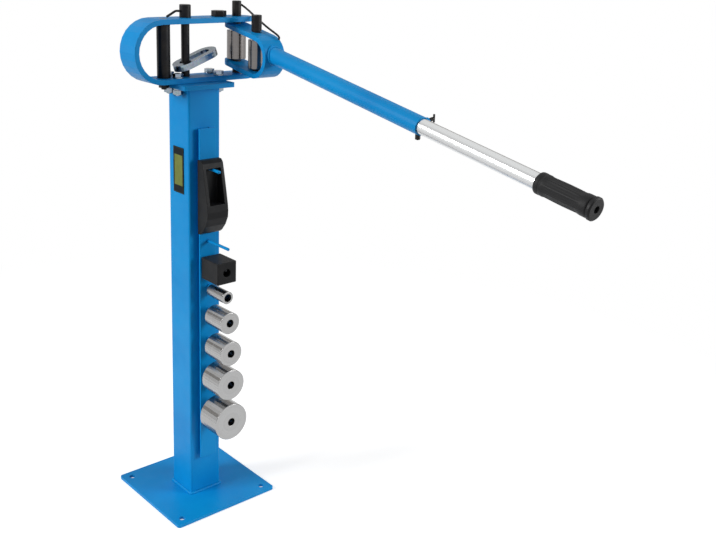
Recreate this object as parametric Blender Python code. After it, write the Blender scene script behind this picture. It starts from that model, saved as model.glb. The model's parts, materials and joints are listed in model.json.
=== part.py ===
"""Pedestal tube bender: base, column, die rack, looped head frame, yoke and telescopic lever.

Metres, +Z up. The origin is the middle of the base plate's underside. The label side of the
column faces -Y and the die rack faces +X. The loop of the head runs along Y.
"""
import math

import bmesh
import bpy
from mathutils import Matrix, Vector

for old in list(bpy.data.objects):
    bpy.data.objects.remove(old, do_unlink=True)

# Play between pieces
seat_gap = 0.0003
turning_play = 0.0003
cut_overrun = 0.004

# Mesh fineness
round_sides = 36
small_sides = 16
washer_sides = 24
arc_steps = 14
cope_sides = 42
corner_steps = 4
sharp_angle = math.radians(32)

# Base plate
base_side = 0.240
base_thickness = 0.006
base_corner_radius = 0.006
base_hole_diameter = 0.013
base_hole_inset = 0.020

# Column
column_side = 0.072
column_wall = 0.003
column_corner_radius = 0.004
column_length = 0.8637

# Top plate
top_plate_side = 0.113
top_plate_thickness = 0.009
top_plate_corner_radius = 0.003

# Label plate
label_width = 0.0366
label_height = 0.092
label_thickness = 0.0008
label_corner_radius = 0.001
label_top_drop = 0.117

# Rack, a strip on two legs, and its pegs
rack_width = 0.037
rack_depth = 0.011
rack_strip_thickness = 0.004
rack_leg_thickness = 0.003
rack_leg_inset = 0.007
rack_foot_gap = 0.085
rack_head_gap = 0.076
peg_diameter = 0.006
die_peg_length = 0.063
spare_peg_length = 0.071
block_peg_length = 0.040

# Round dies, named by their diameters
die_bore = 0.0166
die_edge_chamfer = 0.0008
rack_die_sizes = (
    ("rack_die_3in", 0.0762, 0.027),
    ("rack_die_2_1_2in", 0.0635, 0.025),
    ("rack_die_2in", 0.0508, 0.025),
    ("rack_die_1_3_4in", 0.04445, 0.021),
    ("rack_die_1in", 0.0254, 0.013),
)
# Free lengths of the rack, upwards: under the first die, above each die, above the square die
foot_room_share = 0.299
die_room_shares = (0.043, 0.043, 0.064, 0.064, 0.064)
block_room_share = 0.184
head_die_diameter = 0.0381
roller_die_diameter = 0.03175

# Square die
square_die_side = 0.044
square_die_standoff = 0.010
square_die_edge_round = 0.001
spare_peg_share = 0.6

# Follow block
block_width = 0.048
block_depth = 0.035
block_height = 0.148
block_cheek = 0.007
block_back = 0.006
block_bridge = 0.016
block_foot_share = 0.42
block_edge_round = 0.001
block_outline_shares = (
    (0.00, 1.00), (0.30, 1.00), (0.46, 0.96), (0.62, 0.80), (0.80, 0.60), (0.95, 0.42),
    (1.00, 0.33), (0.97, 0.24), (0.75, 0.13), (0.40, 0.03), (0.22, 0.00), (0.00, 0.00),
)

# Head frame, a flat bar bent into a loop
bar_thickness = 0.0095
frame_width = 0.055
frame_height = 0.1202
frame_reach_back = 0.1435
frame_reach_front = 0.130

# Pins of the head
pin_diameter = 0.016
pivot_reach = 0.0995
pivot_head_diameter = 0.018
pivot_head_height = 0.029
stop_pin_reach = -0.019
stop_pin_head_diameter = 0.0218
stop_pin_head_height = 0.024
stop_handle_diameter = 0.0045
anchor_pin_reach = -0.067
anchor_pin_diameter = 0.0255
anchor_stud_length = 0.012
yoke_pin_reach = 0.066
yoke_pin_head_diameter = 0.020
yoke_pin_head_height = 0.030
pin_edge_chamfer = 0.001

# Bolt in the upper arm
arm_bolt_reach = 0.0575
arm_bolt_flats = 0.0255
arm_bolt_head = 0.011

# Clamping bolts, nuts and washers of the head
clamp_bolt_diameter = 0.010
clamp_bolt_play = 0.0005
clamp_bolt_flats = 0.017
clamp_bolt_head = 0.0064
clamp_nut_height = 0.0084
clamp_bolt_end = 0.003
clamp_bolt_side = 0.016
clamp_bolt_column_gap = 0.0015
flat_washer_diameter = 0.020
flat_washer_thickness = 0.002
spring_washer_diameter = 0.0165
spring_washer_thickness = 0.0025
spring_washer_split = math.radians(14)

# Oval link on the stop pin
link_length = 0.096
link_width = 0.046
link_slot_width = 0.0185
link_thickness = 0.012
link_tilt = math.radians(20)

# Yoke, a flat bar bent into a U and set to droop
yoke_width = 0.046
yoke_room = 0.0098
yoke_bar_thickness = 0.009
yoke_bend_centre = 0.0867
yoke_offset = 0.0055
die_room = 0.0076
lever_droop = math.radians(10.1)
yoke_tail = 0.023
tie_wire_diameter = 0.004
tie_wire_rise = 0.021

# Lever
lever_lift = 0.012
sleeve_diameter = 0.0315
sleeve_wall = 0.002
sleeve_length = 0.395
rod_tube_wall = 0.002
rod_tube_overlap = 0.080
rod_tube_length = 0.410
grip_length = 0.093
grip_wall = 0.0033
grip_mouth_taper = 0.0015
grip_lip_diameter = 0.0362
grip_lip_length = 0.008
grip_end_hole = 0.012
grip_end_thickness = 0.004
tube_end_setback = 0.006

# Lock screws of the telescopic lever, the first one level but for a small turn
lock_setback = 0.009
lock_turn = math.radians(12)
lock_boss_diameter = 0.012
lock_boss_height = 0.006
lock_screw_diameter = 0.006
lock_screw_rise = 0.012
lock_handle_length = 0.014
lock_handle_diameter = 0.0035
lower_screw_flats = 0.008
lower_screw_head = 0.010

# Heights and planes worked out from the sizes above
base_top = base_thickness
column_bottom = base_top + seat_gap
column_top = column_bottom + column_length
plate_bottom = column_top + seat_gap
plate_top = plate_bottom + top_plate_thickness
frame_bottom = plate_top + seat_gap
frame_top = frame_bottom + frame_height
lower_arm_top = frame_bottom + bar_thickness
upper_arm_bottom = frame_top - bar_thickness
rack_back = column_side / 2 + seat_gap
rack_face = rack_back + rack_depth
rack_bottom = base_thickness + rack_foot_gap
rack_top = column_top - rack_head_gap
yoke_middle = frame_bottom + frame_height / 2 + yoke_offset
yoke_height = frame_height - 2 * bar_thickness - 2 * yoke_room
die_length = yoke_height - 2 * yoke_bar_thickness - die_room
pin_bore = pin_diameter + 2 * turning_play


def material(name, colour, metallic, roughness):
    """Plain material of one colour."""
    made = bpy.data.materials.new(name)
    made.use_nodes = True
    shader = made.node_tree.nodes["Principled BSDF"]
    shader.inputs["Base Color"].default_value = (*colour, 1.0)
    shader.inputs["Metallic"].default_value = metallic
    shader.inputs["Roughness"].default_value = roughness
    made.diffuse_color = (*colour, 1.0)
    return made


def blue_paint(name):
    return material(name + "_paint", (0.01, 0.22, 0.62), 0.0, 0.38)


def black_oxide(name):
    return material(name + "_black", (0.018, 0.018, 0.020), 0.5, 0.42)


def turned_steel(name):
    return material(name + "_steel", (0.46, 0.45, 0.43), 1.0, 0.28)


def bright_zinc(name):
    return material(name + "_zinc", (0.62, 0.63, 0.64), 1.0, 0.30)


def rubber(name):
    return material(name + "_rubber", (0.014, 0.014, 0.015), 0.0, 0.62)


def new_object(name, points, faces, made):
    """Mesh object with outward faces, shaded smooth except at its edges."""
    mesh = bpy.data.meshes.new(name)
    mesh.from_pydata([tuple(point) for point in points], [], faces)
    shell = bmesh.new()
    shell.from_mesh(mesh)
    bmesh.ops.recalc_face_normals(shell, faces=shell.faces)
    shell.to_mesh(mesh)
    shell.free()
    mesh.shade_smooth()
    mesh.set_sharp_from_angle(angle=sharp_angle)
    if made:
        mesh.materials.append(made)
    made_object = bpy.data.objects.new(name, mesh)
    bpy.context.scene.collection.objects.link(made_object)
    return made_object


def prism(name, outline, low, high, made, along="Z", hole=None):
    """Solid between two levels of an outline, or of an outline less one hole of as many points."""
    def place(pair, level):
        first, second = pair
        return {"Z": (first, second, level), "Y": (first, level, second), "X": (level, first, second)}[along]

    count = len(outline)
    loops = [(outline, low), (outline, high)]
    if hole:
        loops += [(hole, low), (hole, high)]
    points = [place(pair, level) for loop, level in loops for pair in loop]
    if not hole:
        faces = [tuple(range(count)), tuple(range(count, 2 * count))]
        rings = [(0, 1)]
    else:
        faces = []
        rings = [(0, 1), (1, 3), (3, 2), (2, 0)]
    for ring_a, ring_b in rings:
        for step in range(count):
            after = (step + 1) % count
            faces.append((ring_a * count + step, ring_a * count + after,
                          ring_b * count + after, ring_b * count + step))
    return new_object(name, points, faces, made)


def turned(name, profile, made, sides=round_sides, bored=False):
    """Solid turned about local Z from pairs of radius and height, open at the axis if bored."""
    points = []
    starts = []
    for radius, height in profile:
        starts.append(len(points))
        if radius == 0:
            points.append((0, 0, height))
            continue
        for step in range(sides):
            angle = 2 * math.pi * step / sides
            points.append((radius * math.cos(angle), radius * math.sin(angle), height))
    faces = []
    pairs = list(zip(range(len(profile)), range(1, len(profile))))
    if bored:
        pairs.append((len(profile) - 1, 0))
    for first, second in pairs:
        for step in range(sides):
            after = (step + 1) % sides
            if profile[first][0] == 0:
                faces.append((starts[first], starts[second] + step, starts[second] + after))
            elif profile[second][0] == 0:
                faces.append((starts[first] + step, starts[first] + after, starts[second]))
            else:
                faces.append((starts[first] + step, starts[first] + after,
                              starts[second] + after, starts[second] + step))
    return new_object(name, points, faces, made)


def swept_rod(name, route, diameter, made, sides=10):
    """Round rod that follows a route of points, with flat ends."""
    route = [Vector(point) for point in route]
    side = None
    points = []
    for index, point in enumerate(route):
        before = route[max(index - 1, 0)]
        after = route[min(index + 1, len(route) - 1)]
        heading = (after - before).normalized()
        if side is None:
            side = heading.orthogonal().normalized()
        side = (side - heading * side.dot(heading)).normalized()
        other = heading.cross(side)
        for step in range(sides):
            angle = 2 * math.pi * step / sides
            points.append(point + (side * math.cos(angle) + other * math.sin(angle)) * diameter / 2)
    faces = [tuple(range(sides)), tuple(range(len(points) - sides, len(points)))]
    for ring in range(len(route) - 1):
        for step in range(sides):
            after = (step + 1) % sides
            faces.append((ring * sides + step, ring * sides + after,
                          (ring + 1) * sides + after, (ring + 1) * sides + step))
    return new_object(name, points, faces, made)


def smooth_route(knots, steps):
    """Points of a smooth curve through the knots."""
    knots = [Vector(knot) for knot in knots]
    padded = [2 * knots[0] - knots[1], *knots, 2 * knots[-1] - knots[-2]]
    route = [knots[0]]
    for index in range(1, len(padded) - 2):
        a, b, c, d = padded[index - 1:index + 3]
        for step in range(1, steps + 1):
            t = step / steps
            route.append((2 * b + (c - a) * t + (2 * a - 5 * b + 4 * c - d) * t ** 2
                          + (3 * b - a - 3 * c + d) * t ** 3) / 2)
    return route


def arc(centre, radius, start, end, steps):
    """Points along an arc between two angles in degrees."""
    return [(centre[0] + radius * math.cos(math.radians(start + (end - start) * step / steps)),
             centre[1] + radius * math.sin(math.radians(start + (end - start) * step / steps)))
            for step in range(steps + 1)]


def rounded_rectangle(length, width, radius, steps=corner_steps):
    """Outline centred on the origin with round corners."""
    outline = []
    for quarter, (side_x, side_y) in enumerate(((1, 1), (-1, 1), (-1, -1), (1, -1))):
        centre = (side_x * (length / 2 - radius), side_y * (width / 2 - radius))
        outline += arc(centre, radius, 90 * quarter, 90 * quarter + 90, steps)
    return outline


def hexagon(flats):
    """Outline of a hexagon with two flats square to the second axis."""
    reach = flats / math.sqrt(3)
    return arc((0, 0), reach, 0, 300, 5)


def circle(diameter, sides=round_sides, centre=(0, 0)):
    return arc(centre, diameter / 2, 0, 360 - 360 / sides, sides - 1)


def shape_with(target, tool, operation="DIFFERENCE"):
    """Cut the target with a tool, or keep what both share."""
    tool.hide_render = True
    tool.display_type = "WIRE"
    cut = target.modifiers.new(tool.name, "BOOLEAN")
    cut.object = tool
    cut.operation = operation
    cut.solver = "EXACT"


def drill(target, diameter, low, high, place, sides=round_sides):
    """Upright hole through the target, with a flat of the bore on the middle line and no corner."""
    outline = arc((0, 0), diameter / 2, 180 / sides, 360 - 180 / sides, sides - 1)
    tool = prism("bore_tool", outline, low - cut_overrun, high + cut_overrun, None)
    tool.location = (place[0], place[1], 0)
    shape_with(target, tool)
    return tool


def soften(target, width, steps=2):
    """Small rounding of the sharp edges."""
    edge = target.modifiers.new("edge_round", "BEVEL")
    edge.width = width
    edge.segments = steps
    edge.limit_method = "ANGLE"
    edge.angle_limit = sharp_angle
    edge.use_clamp_overlap = True


def parent_to(piece, holder):
    piece.parent = holder


def empty(name, place, turn=(0, 0, 0)):
    made = bpy.data.objects.new(name, None)
    bpy.context.scene.collection.objects.link(made)
    made.location = place
    made.rotation_euler = turn
    return made


def build_pedestal():
    plate = prism("base_plate", rounded_rectangle(base_side, base_side, base_corner_radius),
                  0, base_thickness, blue_paint("base_plate"))
    hole_reach = base_side / 2 - base_hole_inset
    for side_x in (-1, 1):
        for side_y in (-1, 1):
            drill(plate, base_hole_diameter, 0, base_thickness,
                  (side_x * hole_reach, side_y * hole_reach), small_sides)

    inner = column_side - 2 * column_wall
    inner_radius = column_corner_radius - column_wall
    prism("column", rounded_rectangle(column_side, column_side, column_corner_radius),
          column_bottom, column_top, blue_paint("column"),
          hole=rounded_rectangle(inner, inner, inner_radius))

    cap = prism("top_plate", rounded_rectangle(top_plate_side, top_plate_side, top_plate_corner_radius),
                plate_bottom, plate_top, blue_paint("top_plate"))
    for place in clamp_places():
        drill(cap, clamp_bolt_diameter + 2 * clamp_bolt_play, plate_bottom, plate_top, place, small_sides)

    label_high = column_top - label_top_drop
    label = prism("label_plate", rounded_rectangle(label_width, label_height, label_corner_radius),
                  -label_thickness / 2, label_thickness / 2,
                  material("label_plate_black", (0.02, 0.02, 0.02), 0.0, 0.45), along="Y")
    label.location = (0, -column_side / 2 - seat_gap - label_thickness / 2, label_high - label_height / 2)


def build_rack():
    """Strip that two legs, set in from its edges, hold off the column."""
    half = rack_width / 2
    outside = half - rack_leg_inset
    inside = outside - rack_leg_thickness
    web = rack_face - rack_strip_thickness
    outline = [(rack_face, -half), (rack_face, half), (web, half), (web, outside), (rack_back, outside),
               (rack_back, inside), (web, inside), (web, -inside), (rack_back, -inside),
               (rack_back, -outside), (web, -outside), (web, -half)]
    prism("rack_channel", outline, rack_bottom, rack_top, blue_paint("rack_channel"))


def peg(name, height, length=die_peg_length):
    """Thin rod that stands out from the rack's face."""
    radius = peg_diameter / 2
    rod = turned(name, [(0, 0), (radius, 0), (radius, length - pin_edge_chamfer),
                        (radius - pin_edge_chamfer, length), (0, length)],
                 blue_paint(name), small_sides)
    rod.rotation_euler = (0, math.pi / 2, 0)
    rod.location = (rack_face + seat_gap, 0, height)


def round_die(name, diameter):
    """Bored steel die that stands on local Z."""
    outer = diameter / 2
    bore = die_bore / 2
    chamfer = die_edge_chamfer
    return turned(name, [(bore, 0), (outer - chamfer, 0), (outer, chamfer), (outer, die_length - chamfer),
                         (outer - chamfer, die_length), (bore, die_length)],
                  turned_steel(name), bored=True)


def rack_room():
    """Length of the rack that its dies and block leave free."""
    taken = sum(diameter for _, diameter, _ in rack_die_sizes) + square_die_side + block_height
    return rack_top - rack_bottom - taken


def build_rack_load():
    """Dies, square die and follow block on their pegs, from the bottom up."""
    hang = die_bore / 2 - peg_diameter / 2 - turning_play
    room = rack_room()
    low = rack_bottom + foot_room_share * room
    for (name, diameter, standoff), share in zip(rack_die_sizes, die_room_shares):
        centre = low + diameter / 2
        low += diameter + share * room
        die = round_die(name, diameter)
        die.rotation_euler = (0, math.pi / 2, 0)
        die.location = (rack_face + standoff, 0, centre)
        peg(name.replace("rack_die", "peg"), centre + hang)

    half = square_die_side / 2
    centre = low + half
    square = prism("square_die", [(-half, -half), (half, -half), (half, half), (-half, half)],
                   0, die_length, black_oxide("square_die"), along="X")
    bore = prism("square_die_tool", circle(die_bore), -cut_overrun, die_length + cut_overrun, None, along="X")
    parent_to(bore, square)
    shape_with(square, bore)
    soften(square, square_die_edge_round, 1)
    square.location = (rack_face + square_die_standoff, 0, centre)
    peg("peg_square_die", centre + hang)
    peg("peg_spare", centre + half + spare_peg_share * block_room_share * room, spare_peg_length)


def build_follow_block():
    """Hollow-fronted shoe that hangs by its bridge on the top peg."""
    lower_shares = foot_room_share + sum(die_room_shares) + block_room_share
    top = rack_top - (1 - lower_shares) * rack_room()
    outline = [(share_x * block_depth, (share_z - 1) * block_height)
               for share_x, share_z in block_outline_shares]
    half = block_width / 2
    block = prism("follow_block", outline, -half, half, black_oxide("follow_block"), along="Y")
    inside = half - block_cheek
    pocket_low = (block_foot_share - 1) * block_height
    pocket = prism("pocket_tool", [(block_back, pocket_low), (block_depth + cut_overrun, pocket_low),
                                   (block_depth + cut_overrun, -block_bridge), (block_back, -block_bridge)],
                   -inside, inside, None, along="Y")
    hole = peg_diameter + 2 * turning_play
    peg_drop = block_bridge + peg_diameter / 2 + turning_play
    eye = prism("peg_eye_tool", circle(hole, small_sides, (0, -peg_drop)), -cut_overrun,
                block_back + cut_overrun, None, along="X")
    for tool in (pocket, eye):
        parent_to(tool, block)
        shape_with(block, tool)
    soften(block, block_edge_round, 1)
    block.location = (rack_face + seat_gap, 0, top)
    peg("peg_follow_block", top - peg_drop, block_peg_length)


def build_frame():
    """Flat bar bent round at the back, with both arms open towards the pivot."""
    outer = frame_height / 2
    inner = outer - bar_thickness
    bend = (-frame_reach_back + outer, frame_bottom + outer)
    end = frame_reach_front
    outline = [(end, frame_top), *arc(bend, outer, 90, 270, arc_steps), (end, frame_bottom),
               (end, lower_arm_top), *arc(bend, inner, 270, 90, arc_steps), (end, upper_arm_bottom)]
    half = frame_width / 2
    loop = prism("head_frame", outline, -half, half, blue_paint("head_frame"), along="X")

    back = -frame_reach_back - cut_overrun
    wide = half + cut_overrun
    plan = [(-wide, back), (wide, back), (wide, end - half), *arc((0, end - half), half, 0, 180, arc_steps),
            (-wide, end - half)]
    keep = prism("frame_plan_tool", plan, frame_bottom - cut_overrun, frame_top + cut_overrun, None)
    shape_with(loop, keep, "INTERSECT")
    for reach in (pivot_reach, stop_pin_reach):
        drill(loop, pin_bore, frame_bottom, frame_top, (0, reach))
    drill(loop, pin_bore, upper_arm_bottom, frame_top, (0, anchor_pin_reach))
    drill(loop, pin_bore, upper_arm_bottom, frame_top, (0, arm_bolt_reach))
    stud_bore = clamp_bolt_diameter + 2 * clamp_bolt_play
    for place in [(0, anchor_pin_reach), *clamp_places()]:
        drill(loop, stud_bore, frame_bottom, lower_arm_top, place, small_sides)


def clamp_places():
    """The four bolts stand just clear of the column, inside the frame's width."""
    reach = column_side / 2 + clamp_bolt_column_gap + clamp_bolt_flats / 2
    return [(side_x * clamp_bolt_side, side_y * reach) for side_y in (-1, 1) for side_x in (-1, 1)]


def headed_pin(name, shaft, head, shaft_length, head_height, made):
    """Pin that hangs by its head, with local zero at the underside of the head."""
    radius = shaft / 2
    cap = head / 2
    chamfer = pin_edge_chamfer
    return turned(name, [(0, -shaft_length), (radius - chamfer, -shaft_length),
                         (radius, chamfer - shaft_length), (radius, 0), (cap, 0),
                         (cap, head_height - chamfer), (cap - chamfer, head_height), (0, head_height)], made)


def build_frame_pins():
    seat = frame_top + seat_gap
    stop = headed_pin("stop_pin", pin_diameter, stop_pin_head_diameter, seat - frame_bottom,
                      stop_pin_head_height, black_oxide("stop_pin"))
    stop.location = (0, stop_pin_reach, seat)

    head_side = stop_pin_reach - stop_pin_head_diameter / 2 - seat_gap
    far = anchor_pin_reach + pin_diameter / 2
    rest = frame_top + seat_gap + stop_handle_diameter / 2
    high = seat + stop_pin_head_height / 2
    handle = swept_rod("stop_pin_handle",
                       smooth_route([(0, head_side, high), (0, (2 * head_side + far) / 3, high),
                                     (0, (head_side + 2 * far) / 3, (high + rest) / 2), (0, far, rest)],
                                    corner_steps),
                       stop_handle_diameter, black_oxide("stop_pin_handle"))
    carry = empty("stop_pin_axis", (0, stop_pin_reach, seat))
    handle.data.transform(Matrix.Translation((0, -stop_pin_reach, -seat)))
    parent_to(handle, carry)

    thick = anchor_pin_diameter / 2
    stud = clamp_bolt_diameter / 2
    neck = pin_diameter / 2
    low = lower_arm_top + seat_gap
    high = upper_arm_bottom - seat_gap
    stud_end = frame_bottom - anchor_stud_length
    anchor = turned("anchor_pin", [(0, stud_end), (stud, stud_end), (stud, low), (thick, low), (thick, high),
                                   (neck, high), (neck, frame_top), (0, frame_top)],
                    black_oxide("anchor_pin"))
    anchor.location = (0, anchor_pin_reach, 0)
    nut = hex_nut("anchor_nut", black_oxide("anchor_nut"))
    nut.location = (0, anchor_pin_reach, frame_bottom - seat_gap - clamp_nut_height)

    shank = pin_diameter / 2
    bolt = turned("arm_bolt", [(0, upper_arm_bottom), (shank, upper_arm_bottom),
                               (shank, seat + arm_bolt_head / 2), (0, seat + arm_bolt_head / 2)],
                  black_oxide("arm_bolt"))
    cap = prism("arm_bolt_head_tool", hexagon(arm_bolt_flats), seat, seat + arm_bolt_head, None)
    parent_to(cap, bolt)
    shape_with(bolt, cap, "UNION")
    bolt.location = (0, arm_bolt_reach, 0)


def hex_nut(name, made):
    """Nut that stands on local zero."""
    nut = prism(name, hexagon(clamp_bolt_flats), 0, clamp_nut_height, made)
    tool = drill(nut, clamp_bolt_diameter + 2 * turning_play, 0, clamp_nut_height, (0, 0), small_sides)
    parent_to(tool, nut)
    return nut


def split_ring(name, made):
    """Spring washer with its slit, standing on local zero."""
    outer = spring_washer_diameter / 2
    inner = clamp_bolt_diameter / 2 + turning_play
    start = math.degrees(spring_washer_split) / 2
    end = 360 - start
    outline = arc((0, 0), outer, start, end, round_sides) + arc((0, 0), inner, end, start, round_sides)
    return prism(name, outline, 0, spring_washer_thickness, made)


def build_clamp_bolts():
    """Each bolt hangs through a flat washer, the lower arm and the top plate to its washer and nut."""
    for number, place in enumerate(clamp_places(), start=1):
        washer_low = lower_arm_top + seat_gap
        head_low = washer_low + flat_washer_thickness + seat_gap
        ring_high = plate_bottom - seat_gap
        nut_high = ring_high - spring_washer_thickness - seat_gap
        bolt_end = nut_high - clamp_nut_height - clamp_bolt_end

        shank = clamp_bolt_diameter / 2
        name = f"clamp_bolt_{number}"
        bolt = turned(name, [(0, bolt_end), (shank - pin_edge_chamfer, bolt_end),
                             (shank, bolt_end + pin_edge_chamfer), (shank, head_low + clamp_bolt_head / 2),
                             (0, head_low + clamp_bolt_head / 2)], bright_zinc(name), small_sides)
        cap = prism("clamp_head_tool", hexagon(clamp_bolt_flats), head_low, head_low + clamp_bolt_head, None)
        parent_to(cap, bolt)
        shape_with(bolt, cap, "UNION")
        bolt.location = (*place, 0)

        name = f"flat_washer_{number}"
        bore = clamp_bolt_diameter / 2 + clamp_bolt_play
        rim = flat_washer_diameter / 2
        washer = turned(name, [(bore, 0), (rim, 0), (rim, flat_washer_thickness),
                               (bore, flat_washer_thickness)], bright_zinc(name), washer_sides, bored=True)
        washer.location = (*place, washer_low)

        name = f"spring_washer_{number}"
        ring = split_ring(name, bright_zinc(name))
        ring.location = (*place, ring_high - spring_washer_thickness)

        name = f"clamp_nut_{number}"
        nut = hex_nut(name, bright_zinc(name))
        nut.location = (*place, nut_high - clamp_nut_height)


def build_link():
    """Oval link hooked over the stop pin, resting on two bolt heads and leaning up towards the pivot."""
    outer_radius = link_width / 2
    inner_radius = link_slot_width / 2
    run = link_length / 2 - outer_radius

    def oval(radius):
        return arc((0, run), radius, 0, 180, arc_steps) + arc((0, -run), radius, 180, 360, arc_steps)

    link = prism("oval_link", oval(outer_radius), -link_thickness / 2, link_thickness / 2,
                 bright_zinc("oval_link"), hole=oval(inner_radius))
    slot_end = link_length / 2 - (link_width - link_slot_width) / 2
    reach = slot_end * math.cos(link_tilt) - link_thickness / 2 * math.sin(link_tilt)
    middle = stop_pin_reach - pin_diameter / 2 - turning_play + reach
    rise = link_length / 2 * math.sin(link_tilt) + link_thickness / 2 * math.cos(link_tilt)
    link.rotation_euler = (link_tilt, 0, 0)
    head_top = lower_arm_top + flat_washer_thickness + clamp_bolt_head + 2 * seat_gap
    link.location = (0, middle, head_top + seat_gap + rise)


def build_yoke(swing, droop):
    """U of flat bar round the pivot pin, with upright bores in its drooping arms."""
    outer = yoke_height / 2
    inner = outer - yoke_bar_thickness
    bend = (yoke_bend_centre, 0)
    tail = -yoke_tail
    outline = [(tail, -outer), *arc(bend, outer, -90, 90, arc_steps), (tail, outer),
               (tail, inner), *arc(bend, inner, 90, -90, arc_steps), (tail, -inner)]
    half = yoke_width / 2
    yoke = prism("yoke", outline, -half, half, blue_paint("yoke"), along="Y")
    parent_to(yoke, droop)

    far = yoke_bend_centre + outer + cut_overrun
    wide = half + cut_overrun
    plan = [(0, -half), (0, -wide), (far, -wide), (far, wide), (0, wide), (0, half),
            *arc((0, 0), half, 90, 270, arc_steps)[1:-1]]
    keep = prism("yoke_plan_tool", plan, -yoke_height, yoke_height, None)
    parent_to(keep, swing)
    shape_with(yoke, keep, "INTERSECT")
    for reach in (0, yoke_pin_reach):
        tool = prism("yoke_bore_tool", circle(pin_bore), -yoke_height, yoke_height, None)
        tool.location = (reach, 0, 0)
        parent_to(tool, swing)
        shape_with(yoke, tool)


def yoke_face(height, reach):
    """Height over the yoke's middle of a face of its arms, at a reach from the pivot."""
    return height / math.cos(lever_droop) - reach * math.tan(lever_droop)


def build_yoke_pins(swing):
    seat = frame_top + seat_gap - yoke_middle
    length = frame_top + seat_gap - frame_bottom
    pivot = headed_pin("pivot_pin", pin_diameter, pivot_head_diameter, length, pivot_head_height,
                       black_oxide("pivot_pin"))
    pivot.location = (0, 0, seat)
    parent_to(pivot, swing)

    head_radius = yoke_pin_head_diameter / 2
    outer = yoke_height / 2
    pin_seat = yoke_face(outer, yoke_pin_reach - head_radius) + seat_gap
    pin_end = yoke_face(-outer, yoke_pin_reach)
    pin = headed_pin("yoke_pin", pin_diameter, yoke_pin_head_diameter, pin_seat - pin_end,
                     yoke_pin_head_height, black_oxide("yoke_pin"))
    pin.location = (yoke_pin_reach, 0, pin_seat)
    parent_to(pin, swing)

    wire = tie_wire_diameter / 2
    start = pivot_head_diameter / 2 + seat_gap
    side = yoke_width / 2 - tie_wire_diameter
    bend_reach = yoke_bend_centre + outer / 2
    bend_rise = math.sqrt(outer ** 2 - (outer / 2) ** 2)
    foot_reach = bend_reach * math.cos(lever_droop) + bend_rise * math.sin(lever_droop)
    foot_height = bend_rise * math.cos(lever_droop) - bend_reach * math.sin(lever_droop)
    pin_clear = yoke_pin_head_diameter / 2 + seat_gap + wire
    high = seat + tie_wire_rise
    low = foot_height + wire + seat_gap
    knots = [(0, start + wire, high),
             (pin_clear, side * 4 / 5, high - tie_wire_rise / 3),
             (yoke_pin_reach / 2, side, (2 * high + low) / 3),
             (yoke_pin_reach + pin_clear / 2, side, (high + 2 * low) / 3 + wire),
             (foot_reach - wire, side, low + tie_wire_rise / 3), (foot_reach, side, low)]
    route = [(0, start, high), *smooth_route(knots, corner_steps)]
    tie = swept_rod("tie_wire", route, tie_wire_diameter, black_oxide("tie_wire"))
    parent_to(tie, swing)

    inner = outer - yoke_bar_thickness
    for name, diameter, reach in (("head_die_1_1_2in", head_die_diameter, 0),
                                  ("roller_die_1_1_4in", roller_die_diameter, yoke_pin_reach)):
        die = round_die(name, diameter)
        die.location = (reach, 0, yoke_face(-inner, reach - diameter / 2) + seat_gap)
        parent_to(die, swing)


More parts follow.
